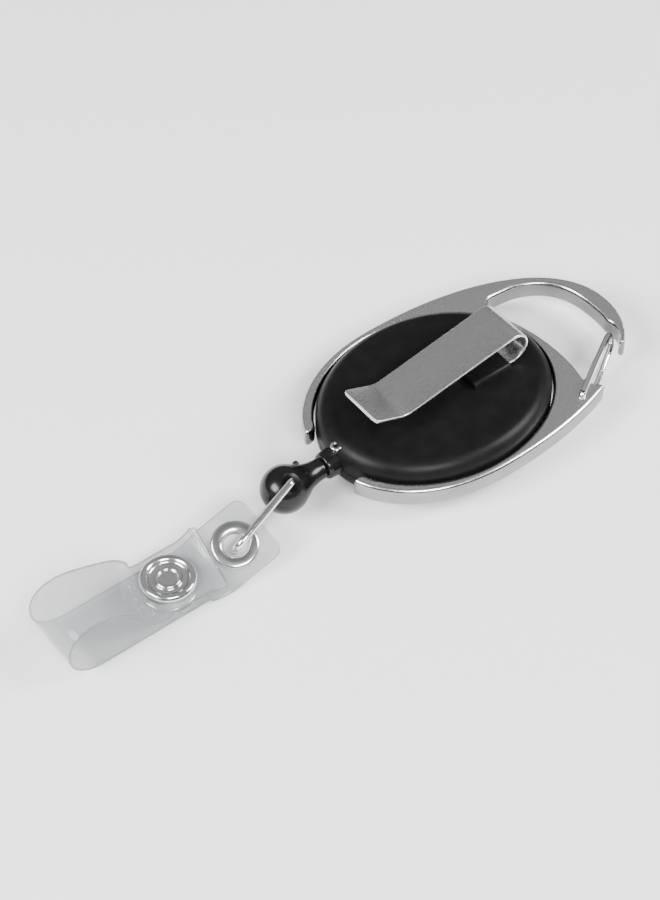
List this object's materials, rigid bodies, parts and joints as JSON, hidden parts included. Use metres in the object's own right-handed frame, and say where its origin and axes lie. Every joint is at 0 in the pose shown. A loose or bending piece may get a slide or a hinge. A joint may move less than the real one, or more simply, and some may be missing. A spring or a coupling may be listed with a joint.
{
  "type": "retractable badge reel",
  "caption": "Retractable badge reel: oval case with spool and spring in a carabiner frame, belt clip, teardrop cord end, wire bail and clear snap strap.",
  "frame": {"origin": "centre of the spool axis on the outer face of the label disc", "axes": "+X towards the carabiner, -X the way the cord pulls out, +Z from the label face towards the belt clip"},
  "size_m": [0.1286, 0.042, 0.0181],
  "materials": {
    "frame_metal": "satin die-cast zinc, nickel plated",
    "case_plastic": "satin black ABS",
    "label": "plain glossy label",
    "nozzle_plastic": "moulded black",
    "plated_metal": "nickel plated brass",
    "post_steel": "turned steel",
    "spring_steel": "blued spring steel",
    "cord": "braided nylon",
    "clip_steel": "brushed spring steel",
    "wire": "plated spring wire",
    "spool_plastic": "natural acetal",
    "cap_plastic": "grey acetal",
    "fitting_plastic": "glossy black",
    "vinyl": "clear flexible vinyl"
  },
  "bodies": {
    "reel": {"frame": "frame_metal", "back_cover": "case_plastic", "front_cover": "case_plastic", "label_disc": "label", "cord_nozzle": "nozzle_plastic", "nozzle_rivet": "plated_metal", "centre_post": "post_steel", "mainspring": "spring_steel", "cord_lead": "cord", "clip_base": "clip_steel"},
    "spool_body": {"spool": "spool_plastic", "spool_cap": "cap_plastic", "cord_winding": "cord"},
    "gate": {"gate_wire": "wire"},
    "clip": {"clip_arm": "clip_steel"},
    "fitting": {"end_fitting": "fitting_plastic", "cord_tail": "cord", "cord_knot": "cord"},
    "bail_body": {"bail": "wire"},
    "strap": {"strap_base": "vinyl", "strap_eyelet": "plated_metal", "eyelet_washer": "plated_metal", "snap_post": "plated_metal", "snap_stud": "plated_metal"},
    "flap": {"strap_flap": "vinyl", "snap_cap": "plated_metal", "snap_socket": "plated_metal"}
  },
  "joints": [
    {"name": "cord_pull", "type": "slide", "parent": "reel", "child": "fitting", "axis": [-1, 0, 0], "range_m": [0, 0.6], "stiffness_N_per_m": 1.67, "springref_m": -0.6},
    {"name": "spool_spin", "type": "hinge", "parent": "reel", "child": "spool_body", "pos_m": [0, 0, 0.0056], "axis": [0, 0, 1], "range_deg": [0, 2760]},
    {"name": "gate_open", "type": "hinge", "parent": "reel", "child": "gate", "pos_m": [0.0214, -0.0168, 0.0056], "axis": [0, 0, 1], "range_deg": [0, 25], "stiffness_Nm_per_rad": 0.03, "springref_deg": -5.73},
    {"name": "clip_flex", "type": "hinge", "parent": "reel", "child": "clip", "pos_m": [0.01775, 0, 0.01435], "axis": [0, 1, 0], "range_deg": [0, 8], "stiffness_Nm_per_rad": 2, "springref_deg": -1.15},
    {"name": "bail_swing", "type": "hinge", "parent": "fitting", "child": "bail_body", "pos_m": [-0.0345, 0, 0.0056], "axis": [0, -0.4695, 0.8829], "range_deg": [-45, 45]},
    {"name": "strap_swing", "type": "hinge", "parent": "bail_body", "child": "strap", "pos_m": [-0.04886, -0.00456, 0.00351], "axis": [-0.2556, -0.3746, 0.8913], "range_deg": [-25, 25]},
    {"name": "flap_open", "type": "hinge", "parent": "strap", "child": "flap", "pos_m": [-0.08565, -0.003, 0.00715], "axis": [0, -1, 0], "range_deg": [0, 60]}
  ],
  "couplings": [
    {"joint": "spool_spin", "follows": "cord_pull", "rad_per_m": 80}
  ]
}
